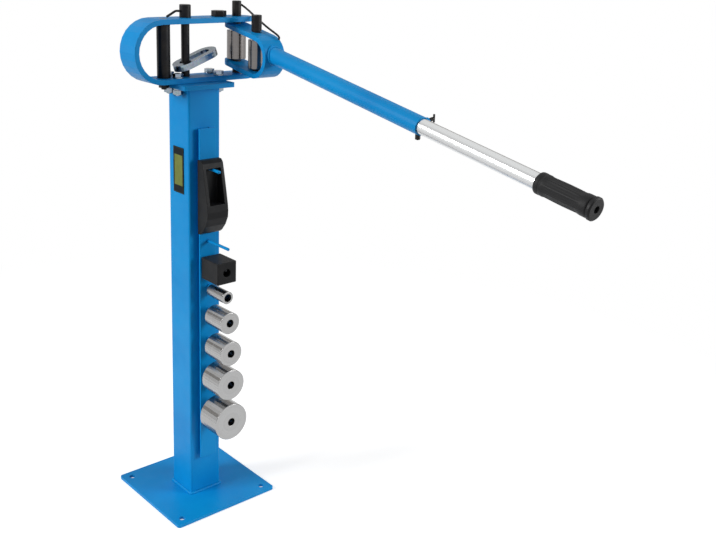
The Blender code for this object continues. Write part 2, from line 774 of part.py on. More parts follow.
def build_lever(droop):
    """Sleeve welded to the bend, the sliding tube, its grip and the two lock screws."""
    bend_outer = yoke_height / 2
    root = yoke_bend_centre + math.sqrt(bend_outer ** 2 - lever_lift ** 2)
    mouth = yoke_bend_centre + bend_outer + sleeve_length
    outer = sleeve_diameter / 2
    inner = outer - sleeve_wall
    lever_axis = empty("lever_axis", (0, 0, lever_lift))
    parent_to(lever_axis, droop)
    upright = (0, math.pi / 2, 0)

    start = root - sleeve_diameter
    sleeve = turned("lever_sleeve", [(inner, start), (outer, start), (outer, mouth), (inner, mouth)],
                    blue_paint("lever_sleeve"), bored=True)
    sleeve.rotation_euler = upright
    parent_to(sleeve, lever_axis)
    bend_circle = circle(yoke_height + 2 * seat_gap, cope_sides, (yoke_bend_centre, -lever_lift))
    cope = prism("cope_tool", bend_circle, -yoke_width, yoke_width, None, along="Y")
    parent_to(cope, lever_axis)
    shape_with(sleeve, cope)

    slide_axis = empty("slide_axis", (mouth, 0, 0))
    parent_to(slide_axis, lever_axis)
    tube_outer = inner - turning_play
    tube_inner = tube_outer - rod_tube_wall
    tube_low = -rod_tube_overlap
    tube_high = tube_low + rod_tube_length
    tube = turned("lever_tube", [(tube_inner, tube_low), (tube_outer, tube_low), (tube_outer, tube_high),
                                 (tube_inner, tube_high)], bright_zinc("lever_tube"), bored=True)
    tube.rotation_euler = upright
    parent_to(tube, slide_axis)

    grip_end = tube_high + tube_end_setback
    grip_start = grip_end - grip_length
    bore = tube_outer + turning_play
    skin = bore + grip_wall
    profile = [(bore, grip_start), (skin - grip_mouth_taper, grip_start), (skin, grip_start + grip_wall),
               (skin, grip_end), (bore, grip_end)]
    grip = turned("grip", profile, rubber("grip"), bored=True)
    grip.rotation_euler = upright
    parent_to(grip, slide_axis)

    lip = grip_lip_diameter / 2
    lip_low = grip_end + seat_gap
    lip_high = lip_low + grip_lip_length
    hole = grip_end_hole / 2
    soft = grip_end_thickness / 2
    cap = turned("grip_cap", [(hole, lip_low), (lip - soft, lip_low), (lip, lip_low + soft),
                              (lip, lip_high - soft), (lip - soft, lip_high), (hole, lip_high)],
                 rubber("grip_cap"), bored=True)
    cap.rotation_euler = upright
    parent_to(cap, slide_axis)

    lock_reach = mouth - lock_setback
    boss_outer = lock_boss_diameter / 2
    screw = lock_screw_diameter / 2
    screw_bore = screw + turning_play
    boss_top = outer + lock_boss_height
    lock_axis = empty("lock_axis", (lock_reach, 0, 0), (lock_turn - math.pi / 2, 0, 0))
    lower_axis = empty("lower_lock_axis", (lock_reach, 0, 0), (lock_turn, 0, 0))
    parent_to(lock_axis, lever_axis)
    parent_to(lower_axis, lever_axis)
    boss = turned("lock_boss", [(screw_bore, 0), (boss_outer, 0), (boss_outer, boss_top),
                                (screw_bore, boss_top)], blue_paint("lock_boss"), small_sides, bored=True)
    parent_to(boss, lock_axis)
    saddle = prism("boss_saddle_tool", circle(sleeve_diameter + 2 * seat_gap), -lock_boss_diameter,
                   lock_boss_diameter, None, along="X")
    parent_to(saddle, lock_axis)
    shape_with(boss, saddle)

    for holder, low, high in ((lock_axis, 0, boss_top), (lower_axis, -boss_top, 0)):
        port = prism("lock_port_tool", circle(2 * screw_bore, small_sides), low, high, None)
        parent_to(port, holder)
        shape_with(sleeve, port)

    tip = tube_outer + turning_play
    stem_top = boss_top + lock_screw_rise
    stem = turned("lock_screw", [(0, tip), (screw, tip), (screw, stem_top), (0, stem_top)],
                  black_oxide("lock_screw"), small_sides)
    parent_to(stem, lock_axis)
    bar_height = stem_top + seat_gap + lock_handle_diameter / 2
    bar_reach = lock_handle_length / 2
    handle = swept_rod("lock_handle", [(0, -bar_reach, bar_height), (0, bar_reach, bar_height)],
                       lock_handle_diameter, black_oxide("lock_handle"))
    parent_to(handle, lock_axis)

    low_screw = turned("lower_lock_screw", [(0, -tip), (screw, -tip), (screw, -outer - lower_screw_head / 2),
                                            (0, -outer - lower_screw_head / 2)],
                       black_oxide("lower_lock_screw"), small_sides)
    head = prism("lower_head_tool", hexagon(lower_screw_flats), -outer - seat_gap - lower_screw_head,
                 -outer - seat_gap, None)
    parent_to(head, lower_axis)
    shape_with(low_screw, head, "UNION")
    parent_to(low_screw, lower_axis)


def build_head():
    build_frame()
    build_frame_pins()
    build_clamp_bolts()
    build_link()
    swing = empty("swing_axis", (0, pivot_reach, yoke_middle))
    droop = empty("droop", (0, 0, 0), (0, lever_droop, 0))
    parent_to(droop, swing)
    build_yoke(swing, droop)
    build_yoke_pins(swing)
    build_lever(droop)


build_pedestal()
build_rack()
build_rack_load()
build_follow_block()
build_head()
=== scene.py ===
"""Looks of the tube bender: finishes, weld beads, threads, fluted grip, floor, light and camera."""
import json
import math

import bmesh
import bpy
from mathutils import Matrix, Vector


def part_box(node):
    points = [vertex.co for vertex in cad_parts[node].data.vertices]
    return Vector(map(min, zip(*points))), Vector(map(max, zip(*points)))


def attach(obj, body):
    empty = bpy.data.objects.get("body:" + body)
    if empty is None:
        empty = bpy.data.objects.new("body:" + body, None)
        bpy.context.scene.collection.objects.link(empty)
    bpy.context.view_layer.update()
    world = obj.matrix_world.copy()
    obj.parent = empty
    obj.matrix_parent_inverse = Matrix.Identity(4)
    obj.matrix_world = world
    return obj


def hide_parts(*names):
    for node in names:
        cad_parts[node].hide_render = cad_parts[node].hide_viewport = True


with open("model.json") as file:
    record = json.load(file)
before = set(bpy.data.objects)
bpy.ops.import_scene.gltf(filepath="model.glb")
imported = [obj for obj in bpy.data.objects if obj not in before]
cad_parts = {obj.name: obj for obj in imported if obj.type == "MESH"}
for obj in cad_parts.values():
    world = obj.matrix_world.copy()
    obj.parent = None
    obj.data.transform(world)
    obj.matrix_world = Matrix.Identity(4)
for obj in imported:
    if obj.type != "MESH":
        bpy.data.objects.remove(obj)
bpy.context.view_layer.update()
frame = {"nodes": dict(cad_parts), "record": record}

# Lever: its axis in the drooping yoke, its bend, sleeve and lock screw, in metres
DROOP = math.radians(10.1)
ALONG = Vector((math.cos(DROOP), 0, -math.sin(DROOP)))
ACROSS = Vector((math.sin(DROOP), 0, math.cos(DROOP)))
SIDE = Vector((0, 1, 0))
PIVOT = Vector((0, 0.0995, 0.9452))
LEVER_LIFT = 0.012
LEVER_ROOT = PIVOT + LEVER_LIFT * ACROSS
BEND_CENTRE = 0.0867
BEND_RADIUS = 0.0408
SLEEVE_RADIUS = 0.01575
LOCK_REACH = 0.5135
LOCK_TURN = math.radians(12)
LOCK_OUT = math.cos(LOCK_TURN) * SIDE + math.sin(LOCK_TURN) * ACROSS
LOCK_ROUND = math.cos(LOCK_TURN) * ACROSS - math.sin(LOCK_TURN) * SIDE
LOCK_BOSS_TOP = 0.02175
LOCK_BOSS_RADIUS = 0.006
LOCK_SCREW_RADIUS = 0.003

# Grip: places along the lever and radii
GRIP_START = 0.7655
GRIP_LENGTH = 0.093
GRIP_BORE = 0.01375
GRIP_RADIUS = 0.01705
GRIP_SIDES = 120
GRIP_FLUTES = 10
FLUTE_DEPTH = 0.0009
FLUTED_START = 0.018
FLUTED_LENGTH = 0.059
FLUTED_STEPS = 12
FLUTED_SINK = 0.0006
# Distance from the grip's mouth, change of radius, share of the flutes' depth
GRIP_MOUTH = [(0.0, -0.0016, 0.0), (0.0010, -0.0004, 0.0), (0.0022, 0.0, 0.0), (0.0075, 0.0, 0.0),
              (0.0086, -0.0007, 0.0), (0.0100, -0.0009, 0.0), (0.0112, -0.0002, 0.0),
              (0.0140, 0.0, 0.15)]
GRIP_END = [(0.0800, -0.0002, 0.1), (0.0825, 0.0, 0.0), (0.0905, 0.0, 0.0), (0.0920, -0.0004, 0.0),
            (0.0930, -0.0014, 0.0)]

# Rack: legs set in from the strip's edges, and the pegs no die hangs on, whose ends get no painted
# shade
RACK_LEG_INSET = 0.007
PEGS_WITHOUT_SHADED_ENDS = ("peg_spare", "peg_follow_block")

# Weld beads: radius, distance from the seam, pitch of the ripples
BEAD_SIDES = 8
BEAD_PITCH = 0.0036
FINE_PITCH = 0.0026
BEAD_CORNER = 0.005
FOOT_BEAD = 0.0030
FOOT_OUT = 0.0012
FOOT_RISE = 0.0008
HEAD_BEAD = 0.0024
HEAD_OUT = 0.0009
HEAD_DROP = 0.0006
RACK_BEAD = 0.0020
RACK_OUT = 0.0006
RACK_STITCHES = 5
RACK_STITCH = 0.030
RACK_STITCH_START = 0.010
RACK_STITCH_ENDS = 0.050
RACK_UNDER_LEG = 0.0004
PEG_BEAD = 0.0008
PEG_RING = 0.0038
PEG_SINK = 0.0001
ROOT_BEAD = 0.0024
ROOT_CLEAR = 0.0003
ROOT_OUT = 0.0010
BOSS_BEAD = 0.0012
BOSS_OUT = 0.0004

# Threads
THREAD_PITCH = 0.0010
THREAD_DEPTH = 0.0003
THREAD_ROOT = 0.0004
THREAD_SIDES = 28
STUD_RADIUS = 0.005
LOCK_THREAD = 0.0100
LOCK_THREAD_GAP = 0.0008

# Label: its plain field, and the keyline round it
FIELD_SIDE = 0.0042
FIELD_END = 0.0155
KEYLINE_IN = 0.0014
KEYLINE_WIDTH = 0.0005
KEYLINE_SOFT = 0.0001

# Colours of the finishes
BLUE_PALE = (0.002, 0.300, 0.70)
BLUE_DEEP = (0.001, 0.245, 0.62)
PRIMER = (0.06, 0.36, 0.70)
SCUFF = (0.03, 0.36, 0.72)
# Painted shade: darker, warmer copy of the steel for the dies in the head, under the yoke
HEAD_DIE_PAINTED_SHADE = (0.52, 0.49, 0.48)
# Near-black peg ends inside the dies, and where along X they start: painted shade of the dies' bores,
# also paint worn off by the dies
PEG_END_PAINTED_SHADE = (0.012, 0.014, 0.017)
PEG_END_SHADE_REACH = (0.072, 0.090)
OXIDE_TONES = [(0.35, (0.006, 0.006, 0.008)), (0.55, (0.011, 0.010, 0.010)),
               (0.72, (0.020, 0.017, 0.015))]
OXIDE_EDGE = (0.16, 0.155, 0.15)
CASTING_TONES = [(0.3, (0.007, 0.008, 0.009)), (0.7, (0.016, 0.016, 0.017))]
CASTING_EDGE = (0.07, 0.068, 0.066)
STEEL_LOW = (0.34, 0.34, 0.34)
STEEL_MIDDLE = (0.375, 0.375, 0.375)
STEEL_HIGH = (0.42, 0.42, 0.42)
STEEL_STAIN = (0.32, 0.305, 0.29)
STEEL_EDGE = (0.62, 0.62, 0.615)
# Zinc greys darkened and tinted blue: painted reflection of the blue paint round the zinc parts
ZINC_AND_BLUE_REFLECTION_TONES = [(0.3, (0.22, 0.27, 0.32)), (0.7, (0.33, 0.39, 0.45))]
ZINC_EDGE = (0.72, 0.76, 0.80)
TUBE_PALE = (0.70, 0.71, 0.71)
# Grey of the painted reflection streaks round the tube
TUBE_REFLECTION_GREY = (0.44, 0.44, 0.445)
TUBE_LINES = (0.56, 0.56, 0.565)
RUBBER_TONES = [(0.3, (0.006, 0.006, 0.007)), (0.7, (0.012, 0.012, 0.013))]
RUBBER_EDGE = (0.035, 0.035, 0.037)
LABEL_YELLOW = [(0.3, (0.155, 0.185, 0.045)), (0.7, (0.20, 0.235, 0.065))]
LABEL_BLACK = [(0.3, (0.003, 0.006, 0.008)), (0.7, (0.006, 0.011, 0.014))]
LABEL_LINE = (0.16, 0.16, 0.04)

# Stage and light
FLOOR_SIDES = 96
FLOOR_REACH = 6.0
FLOOR_HEIGHT = -0.0006
FLOOR_GREY = (0.86, 0.86, 0.86, 1)
FLOOR_LIFT = 0.50
FLOOR_WHITE_FROM = 0.6
FLOOR_WHITE_AT = 1.6
WHITE = (1, 1, 1, 1)
WORLD_SOFT = 0.29
GAP_TONE = (0.30, 0.28, 0.26)
GAP_RISE = (0.10, 0.22, 0.40, 0.52)
LIGHT_AIM = (0.0, 0.0, 0.6)
KEY_PLACE = (-0.9, -3.4, 2.3)
KEY_SIZE = 1.6
KEY_POWER = 115
FILL_PLACE = (2.6, 2.2, 1.6)
FILL_SIZE = 1.2
FILL_POWER = 62

# Camera
SENSOR_WIDTH = 36.0
LENS = 48.685
SHIFT_X = 0.04
SHIFT_Y = -0.08
CAMERA_PLACE = (1.58276, -1.02428, 1.15508)
CAMERA_TURN = (74.0836, -1.8499, 49.3907)


# Material building

def graph(name):
    """New material with only its output and Principled shader."""
    made = bpy.data.materials.new(name)
    made.use_nodes = True
    tree = made.node_tree
    return made, tree, tree.nodes["Principled BSDF"]


def node(tree, kind, inputs=None, **settings):
    """Node with its settings, and inputs given as values or as sockets to link."""
    made = tree.nodes.new(kind)
    for key, value in settings.items():
        setattr(made, key, value)
    for key, value in (inputs or {}).items():
        socket = made.inputs[key]
        if isinstance(value, bpy.types.NodeSocket):
            tree.links.new(value, socket)
        else:
            socket.default_value = value
    return made


def link(tree, source, target):
    tree.links.new(source, target)


def place(tree):
    """Position in the row frame at rest, in metres."""
    return node(tree, "ShaderNodeTexCoord").outputs["Object"]


def noise(tree, where, scale, detail=3.0, roughness=0.5, distortion=0.0):
    inputs = {"Vector": where, "Scale": scale, "Detail": detail, "Roughness": roughness,
              "Distortion": distortion}
    return node(tree, "ShaderNodeTexNoise", inputs).outputs["Fac"]


def remap(tree, value, low, high, to_low, to_high):
    inputs = {"Value": value, "From Min": low, "From Max": high, "To Min": to_low, "To Max": to_high}
    return node(tree, "ShaderNodeMapRange", inputs).outputs["Result"]


def calc(tree, operation, first, second=0.0):
    return node(tree, "ShaderNodeMath", {0: first, 1: second}, operation=operation).outputs["Value"]


def vector_calc(tree, operation, first, second=(0, 0, 0)):
    made = node(tree, "ShaderNodeVectorMath", {0: first, 1: second}, operation=operation)
    return made.outputs["Value" if operation in ("DOT_PRODUCT", "LENGTH") else "Vector"]


def blend_colours(tree, share, first, second):
    made = node(tree, "ShaderNodeMix", data_type="RGBA")
    for socket, value in ((made.inputs[0], share), (made.inputs[6], first), (made.inputs[7], second)):
        if isinstance(value, bpy.types.NodeSocket):
            tree.links.new(value, socket)
        else:
            socket.default_value = (*value, 1.0) if isinstance(value, tuple) else value
    return made.outputs[2]


def ramp(tree, value, stops):
    made = node(tree, "ShaderNodeValToRGB", {"Fac": value})
    band = made.color_ramp.elements
    while len(band) < len(stops):
        band.new(0.5)
    for element, (at, colour) in zip(band, stops):
        element.position = at
        element.color = (*colour, 1.0)
    return made.outputs["Color"]


def rounded(tree, radius):
    """Normal with softly rounded edges, and a mask that is 1 on them."""
    soft = node(tree, "ShaderNodeBevel", {"Radius": radius}, samples=6).outputs["Normal"]
    flat = node(tree, "ShaderNodeNewGeometry").outputs["Normal"]
    edge = remap(tree, vector_calc(tree, "DOT_PRODUCT", soft, flat), 0.995, 0.86, 0.0, 1.0)
    return soft, edge


def bump(tree, height, strength, distance, normal=None):
    made = node(tree, "ShaderNodeBump", {"Height": height, "Strength": strength, "Distance": distance})
    if normal is not None:
        tree.links.new(normal, made.inputs["Normal"])
    return made.outputs["Normal"]


def powder_paint(name, shaded_and_worn_ends=False):
    """Blue powder coat: orange peel, thin pale edges, faint scuffs, and on die pegs near-black ends:
    painted shade of the dies' bores, also paint worn off where the dies hang.
    """
    made, tree, shader = graph(name)
    where = place(tree)
    soft, edge = rounded(tree, 0.0012)
    tone = noise(tree, where, 9.0, 4.0)
    base = blend_colours(tree, remap(tree, tone, 0.32, 0.68, 0.0, 1.0), BLUE_DEEP, BLUE_PALE)
    ragged = remap(tree, noise(tree, where, 420.0, 4.0, 0.6), 0.42, 0.62, 0.0, 1.0)
    worn = calc(tree, "MULTIPLY", edge, remap(tree, ragged, 0.0, 1.0, 0.15, 0.55))
    base = blend_colours(tree, worn, base, PRIMER)
    stretched = vector_calc(tree, "MULTIPLY", where, (1.0, 1.0, 0.06))
    scuff_lines = noise(tree, stretched, 620.0, 2.0, 0.4, 0.3)
    scuff_patch = remap(tree, noise(tree, where, 14.0, 3.0), 0.58, 0.72, 0.0, 1.0)
    scuff = calc(tree, "MULTIPLY", remap(tree, scuff_lines, 0.60, 0.72, 0.0, 1.0), scuff_patch)
    base = blend_colours(tree, calc(tree, "MULTIPLY", scuff, 0.25), base, SCUFF)
    if shaded_and_worn_ends:
        # Painted shade: the peg's end inside a die's bore turns near-black, also standing for paint
        # worn off there
        out = node(tree, "ShaderNodeSeparateXYZ", {"Vector": where}).outputs["X"]
        patches = remap(tree, noise(tree, where, 260.0, 3.0), 0.3, 0.7, -0.004, 0.004)
        patchy = calc(tree, "ADD", out, patches)
        base = blend_colours(tree, remap(tree, patchy, *PEG_END_SHADE_REACH, 0.0, 1.0), base, PEG_END_PAINTED_SHADE)
    link(tree, base, shader.inputs["Base Color"])
    rough = remap(tree, noise(tree, where, 46.0, 3.0), 0.3, 0.7, 0.34, 0.44)
    link(tree, calc(tree, "ADD", rough, calc(tree, "MULTIPLY", scuff, 0.2)), shader.inputs["Roughness"])
    peel = noise(tree, where, 640.0, 2.0, 0.45)
    link(tree, bump(tree, peel, 0.16, 0.0004, soft), shader.inputs["Normal"])
    shader.inputs["Specular IOR Level"].default_value = 0.16
    return made


def black_oxide(name):
    """Blackened steel: a little brown in the black, polished edges and fine handling marks."""
    made, tree, shader = graph(name)
    where = place(tree)
    soft, edge = rounded(tree, 0.0008)
    tint = noise(tree, where, 60.0, 4.0)
    base = ramp(tree, tint, OXIDE_TONES)
    rub = remap(tree, noise(tree, where, 300.0, 5.0, 0.6), 0.4, 0.65, 0.15, 0.8)
    base = blend_colours(tree, calc(tree, "MULTIPLY", edge, rub), base, OXIDE_EDGE)
    link(tree, base, shader.inputs["Base Color"])
    rough = remap(tree, noise(tree, where, 180.0, 4.0), 0.3, 0.7, 0.24, 0.44)
    link(tree, rough, shader.inputs["Roughness"])
    marks = noise(tree, vector_calc(tree, "MULTIPLY", where, (1.0, 1.0, 3.2)), 900.0, 3.0, 0.55)
    link(tree, bump(tree, marks, 0.14, 0.00025, soft), shader.inputs["Normal"])
    shader.inputs["Metallic"].default_value = 0.2
    shader.inputs["Specular IOR Level"].default_value = 0.2
    return made


def black_casting(name):
    """Black-painted casting: pebbled skin with a satin film over it."""
    made, tree, shader = graph(name)
    where = place(tree)
    soft, edge = rounded(tree, 0.0016)
    pebble = noise(tree, where, 760.0, 4.0, 0.55)
    pits = node(tree, "ShaderNodeTexVoronoi", {"Vector": where, "Scale": 520.0}).outputs["Distance"]
    base = ramp(tree, noise(tree, where, 38.0, 4.0), CASTING_TONES)
    rub = remap(tree, noise(tree, where, 260.0, 5.0, 0.6), 0.45, 0.68, 0.05, 0.6)
    base = blend_colours(tree, calc(tree, "MULTIPLY", edge, rub), base, CASTING_EDGE)
    link(tree, base, shader.inputs["Base Color"])
    link(tree, remap(tree, pebble, 0.3, 0.7, 0.34, 0.52), shader.inputs["Roughness"])
    rough_skin = calc(tree, "ADD", pebble, calc(tree, "MULTIPLY", pits, 0.5))
    link(tree, bump(tree, rough_skin, 0.22, 0.0005, soft), shader.inputs["Normal"])
    shader.inputs["Specular IOR Level"].default_value = 0.12
    return made


def turned_steel(name, centre, axis, shade=(1.0, 1.0, 1.0)):
    """Lathe-turned steel: fine rings that run round the axis on the sides and on the faces; shade
    darkens a whole copy as painted shade.
    """
    def tone(*colour):
        return tuple(part * share for part, share in zip(colour, shade))

    made, tree, shader = graph(name)
    axis = Vector(axis).normalized()
    offset = vector_calc(tree, "SUBTRACT", place(tree), tuple(centre))
    length = vector_calc(tree, "DOT_PRODUCT", offset, tuple(axis))
    along = node(tree, "ShaderNodeVectorMath", {0: tuple(axis), 3: length}, operation="SCALE")
    along = along.outputs["Vector"]
    radius = vector_calc(tree, "LENGTH", vector_calc(tree, "SUBTRACT", offset, along))
    rings = node(tree, "ShaderNodeCombineXYZ", {"X": radius, "Y": length}).outputs["Vector"]
    fine = noise(tree, rings, 3200.0, 2.0, 0.6)
    broad = noise(tree, rings, 420.0, 3.0, 0.6)
    stain = noise(tree, offset, 70.0, 4.0, 0.55)
    soft, edge = rounded(tree, 0.0007)
    grooves = calc(tree, "ADD", calc(tree, "MULTIPLY", fine, 0.35), calc(tree, "MULTIPLY", broad, 0.65))
    base = ramp(tree, grooves, [(0.32, tone(*STEEL_LOW)), (0.50, tone(*STEEL_MIDDLE)),
                                (0.66, tone(*STEEL_HIGH))])
    base = blend_colours(tree, remap(tree, stain, 0.55, 0.75, 0.0, 0.3), base, tone(*STEEL_STAIN))
    base = blend_colours(tree, calc(tree, "MULTIPLY", edge, 0.25), base, tone(*STEEL_EDGE))
    link(tree, base, shader.inputs["Base Color"])
    link(tree, remap(tree, broad, 0.3, 0.7, 0.20, 0.26), shader.inputs["Roughness"])
    link(tree, bump(tree, fine, 0.10, 0.00003, soft), shader.inputs["Normal"])
    shader.inputs["Metallic"].default_value = 1.0
    return made


def zinc_plate(name):
    """Bright zinc: grey, darkened and tinted blue as a painted reflection of the blue paint round it,
    with a faint spangle and brushed roughness.
    """
    made, tree, shader = graph(name)
    where = place(tree)
    soft, edge = rounded(tree, 0.0006)
    cells = node(tree, "ShaderNodeTexVoronoi", {"Vector": where, "Scale": 340.0}).outputs["Color"]
    grain = noise(tree, where, 240.0, 4.0)
    # Painted reflection: darker, bluer zinc tones stand for the blue paint reflected in it
    base = ramp(tree, grain, ZINC_AND_BLUE_REFLECTION_TONES)
    base = blend_colours(tree, 0.06, base, cells)
    base = blend_colours(tree, calc(tree, "MULTIPLY", edge, 0.4), base, ZINC_EDGE)
    link(tree, base, shader.inputs["Base Color"])
    link(tree, remap(tree, grain, 0.3, 0.7, 0.14, 0.24), shader.inputs["Roughness"])
    brushed = noise(tree, where, 1500.0, 2.0)
    link(tree, bump(tree, brushed, 0.08, 0.00006, soft), shader.inputs["Normal"])
    shader.inputs["Metallic"].default_value = 1.0
    return made


def drawn_tube(name):
    """Bright drawn tube: grey painted reflection streaks at set angles round it, and fine drawn lines
    along its length.
    """
    made, tree, shader = graph(name)
    offset = vector_calc(tree, "SUBTRACT", place(tree), tuple(LEVER_ROOT))
    reach = vector_calc(tree, "DOT_PRODUCT", offset, tuple(ALONG))
    high = vector_calc(tree, "DOT_PRODUCT", offset, tuple(ACROSS))
    wide = vector_calc(tree, "DOT_PRODUCT", offset, tuple(SIDE))
    angle = node(tree, "ShaderNodeMath", {0: high, 1: wide}, operation="ARCTAN2").outputs["Value"]
    turn = remap(tree, angle, -math.pi, math.pi, 0.0, 1.0)
    wobble = calc(tree, "MULTIPLY", calc(tree, "SUBTRACT", noise(tree, offset, 6.0, 2.0), 0.5), 0.02)
    turn = calc(tree, "ADD", turn, wobble)
    # Painted reflection: grey streaks at set angles round the tube's axis
    pale, grey = TUBE_PALE, TUBE_REFLECTION_GREY
    base = ramp(tree, turn, [(0.0, pale), (0.06, grey), (0.12, pale), (0.17, pale), (0.225, grey),
                             (0.28, pale), (0.40, pale), (0.45, grey), (0.52, pale), (0.63, pale),
                             (0.68, grey), (0.74, pale), (0.86, pale), (0.91, grey), (0.96, pale)])
    around = node(tree, "ShaderNodeCombineXYZ", {"X": calc(tree, "MULTIPLY", turn, 0.09),
                                                 "Y": calc(tree, "MULTIPLY", reach, 0.004)})
    lines = noise(tree, around.outputs["Vector"], 900.0, 2.0, 0.5)
    base = blend_colours(tree, remap(tree, lines, 0.45, 0.75, 0.0, 0.3), base, TUBE_LINES)
    link(tree, base, shader.inputs["Base Color"])
    link(tree, remap(tree, lines, 0.3, 0.7, 0.16, 0.30), shader.inputs["Roughness"])
    soft, _ = rounded(tree, 0.0006)
    link(tree, bump(tree, lines, 0.05, 0.00004, soft), shader.inputs["Normal"])
    shader.inputs["Metallic"].default_value = 1.0
    return made


def grip_rubber(name):
    """Moulded black rubber: mottled in tone and roughness, with a fine grain and paler worn edges."""
    made, tree, shader = graph(name)
    where = place(tree)
    soft, edge = rounded(tree, 0.0010)
    mottle = noise(tree, where, 50.0, 4.0)
    grain = noise(tree, where, 1300.0, 3.0, 0.55)
    base = ramp(tree, mottle, RUBBER_TONES)
    base = blend_colours(tree, calc(tree, "MULTIPLY", edge, 0.3), base, RUBBER_EDGE)
    link(tree, base, shader.inputs["Base Color"])
    link(tree, remap(tree, mottle, 0.3, 0.7, 0.42, 0.58), shader.inputs["Roughness"])
    link(tree, bump(tree, grain, 0.25, 0.00025, soft), shader.inputs["Normal"])
    shader.inputs["Specular IOR Level"].default_value = 0.24
    return made


def inside(tree, value, low, high, soft=0.0003):
    """Mask that is 1 between two places."""
    rise = remap(tree, value, low - soft, low + soft, 0.0, 1.0)
    fall = remap(tree, value, high - soft, high + soft, 1.0, 0.0)
    return calc(tree, "MULTIPLY", rise, fall)


def blank_label(name):
    """Black label film with a plain yellow field and a fine keyline, and nothing printed on it."""
    made, tree, shader = graph(name)
    low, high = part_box("label_plate")
    where = place(tree)
    parts = node(tree, "ShaderNodeSeparateXYZ", {"Vector": where})
    across, up = parts.outputs["X"], parts.outputs["Z"]

    def framed(side, end, *soft):
        return calc(tree, "MULTIPLY", inside(tree, across, low[0] + side, high[0] - side, *soft),
                    inside(tree, up, low[2] + end, high[2] - end, *soft))

    field = framed(FIELD_SIDE, FIELD_END)
    outer = framed(KEYLINE_IN, KEYLINE_IN, KEYLINE_SOFT)
    within = KEYLINE_IN + KEYLINE_WIDTH
    inner = framed(within, within, KEYLINE_SOFT)
    keyline = calc(tree, "SUBTRACT", outer, inner)
    fade = noise(tree, where, 90.0, 4.0)
    yellow = ramp(tree, fade, LABEL_YELLOW)
    black = ramp(tree, fade, LABEL_BLACK)
    base = blend_colours(tree, field, black, yellow)
    base = blend_colours(tree, calc(tree, "MULTIPLY", keyline, 0.4), base, LABEL_LINE)
    link(tree, base, shader.inputs["Base Color"])
    link(tree, remap(tree, fade, 0.3, 0.7, 0.30, 0.40), shader.inputs["Roughness"])
    soft, _ = rounded(tree, 0.0005)
    link(tree, bump(tree, noise(tree, where, 800.0, 2.0), 0.06, 0.0001, soft), shader.inputs["Normal"])
    shader.inputs["Specular IOR Level"].default_value = 0.06
    return made


# Piece building

def piece(name, vertices, faces, made, body, smooth=True):
    """Mesh piece in the row frame that rides on a body."""
    mesh = bpy.data.meshes.new(name)
    mesh.from_pydata([tuple(v) for v in vertices], [], faces)
    work = bmesh.new()
    work.from_mesh(mesh)
    bmesh.ops.recalc_face_normals(work, faces=work.faces)
    work.to_mesh(mesh)
    work.free()
    if smooth:
        mesh.shade_smooth()
        mesh.set_sharp_from_angle(angle=math.radians(40))
    mesh.materials.append(made)
    obj = bpy.data.objects.new(name, mesh)
    bpy.context.scene.collection.objects.link(obj)
    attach(obj, body)
    return obj


def rings_to_mesh(rings, closed):
    """Vertices and faces of a skin through rings of points, capped unless it closes on itself."""
    sides = len(rings[0])
    vertices = [v for ring in rings for v in ring]
    faces = []
    steps = len(rings) if closed else len(rings) - 1
    for step in range(steps):
        here = step * sides
        after = (step + 1) % len(rings) * sides
        for side in range(sides):
            nxt = (side + 1) % sides
            faces.append((here + side, here + nxt, after + nxt, after + side))
    if not closed:
        faces.append(tuple(range(sides - 1, -1, -1)))
        last = (len(rings) - 1) * sides
        faces.append(tuple(range(last, last + sides)))
    return vertices, faces


def resample(points, step, closed):
    """Points at an even step along a polyline."""
    line = [Vector(p) for p in points]
    if closed:
        line.append(line[0])
    lengths = [(b - a).length for a, b in zip(line, line[1:])]
    total = sum(lengths)
    count = max(4, round(total / step))
    found = []
    for index in range(count if closed else count + 1):
        want = total * index / count
        leg = 0
        while leg < len(lengths) - 1 and want > lengths[leg]:
            want -= lengths[leg]
            leg += 1
        found.append(line[leg].lerp(line[leg + 1], min(1.0, want / lengths[leg])))
    return found


def weld_bead(name, points, up, radius, made, body, closed=False, pitch=BEAD_PITCH):
    """Rippled bead of weld laid along a path."""
    path = resample(points, pitch / 4, closed)
    up = Vector(up).normalized()
    count = len(path)
    rings = []
    for index, at in enumerate(path):
        before = path[index - 1] if closed or index else path[0]
        after = path[(index + 1) % count] if closed or index < count - 1 else path[-1]
        ahead = (after - before).normalized()
        out = ahead.cross(up).normalized()
        ripple = 1 + 0.16 * math.sin(math.pi * (index % 4) / 4)
        ripple += 0.05 * math.sin(index * 1.7) * math.sin(index * 0.43)
        end = 1.0
        if not closed:
            end = min(1.0, 0.35 + 0.3 * min(index, count - 1 - index))
        ring = []
        for side in range(BEAD_SIDES):
            angle = 2 * math.pi * side / BEAD_SIDES
            ring.append(at + radius * ripple * end * (math.cos(angle) * out + math.sin(angle) * up))
        rings.append(ring)
    vertices, faces = rings_to_mesh(rings, closed)
    obj = piece(name, vertices, faces, made, body)
    obj.data.set_sharp_from_angle(angle=math.radians(75))
    return obj


def thread(name, start, axis, radius, length, pitch, depth, made, body):
    """Helical ridge of a screw thread round a shank."""
    axis = Vector(axis).normalized()
    first = axis.orthogonal().normalized()
    second = axis.cross(first)
    total = max(8, int(length / pitch * THREAD_SIDES))
    rings = []
    for step in range(total + 1):
        angle = 2 * math.pi * step / THREAD_SIDES
        fade = min(1.0, step / 8, (total - step) / 8)
        out = math.cos(angle) * first + math.sin(angle) * second
        centre = Vector(start) + axis * (length * step / total)
        half = pitch * 0.42 * max(fade, 0.05)
        rise = depth * max(fade, 0.02)
        root = centre + out * (radius - THREAD_ROOT)
        rings.append([root - axis * half, centre + out * (radius + rise), root + axis * half])
    vertices, faces = rings_to_mesh(rings, False)
    obj = piece(name, vertices, faces, made, body)
    return obj


def lever_point(reach, high=0.0, wide=0.0):
    return LEVER_ROOT + reach * ALONG + high * ACROSS + wide * SIDE


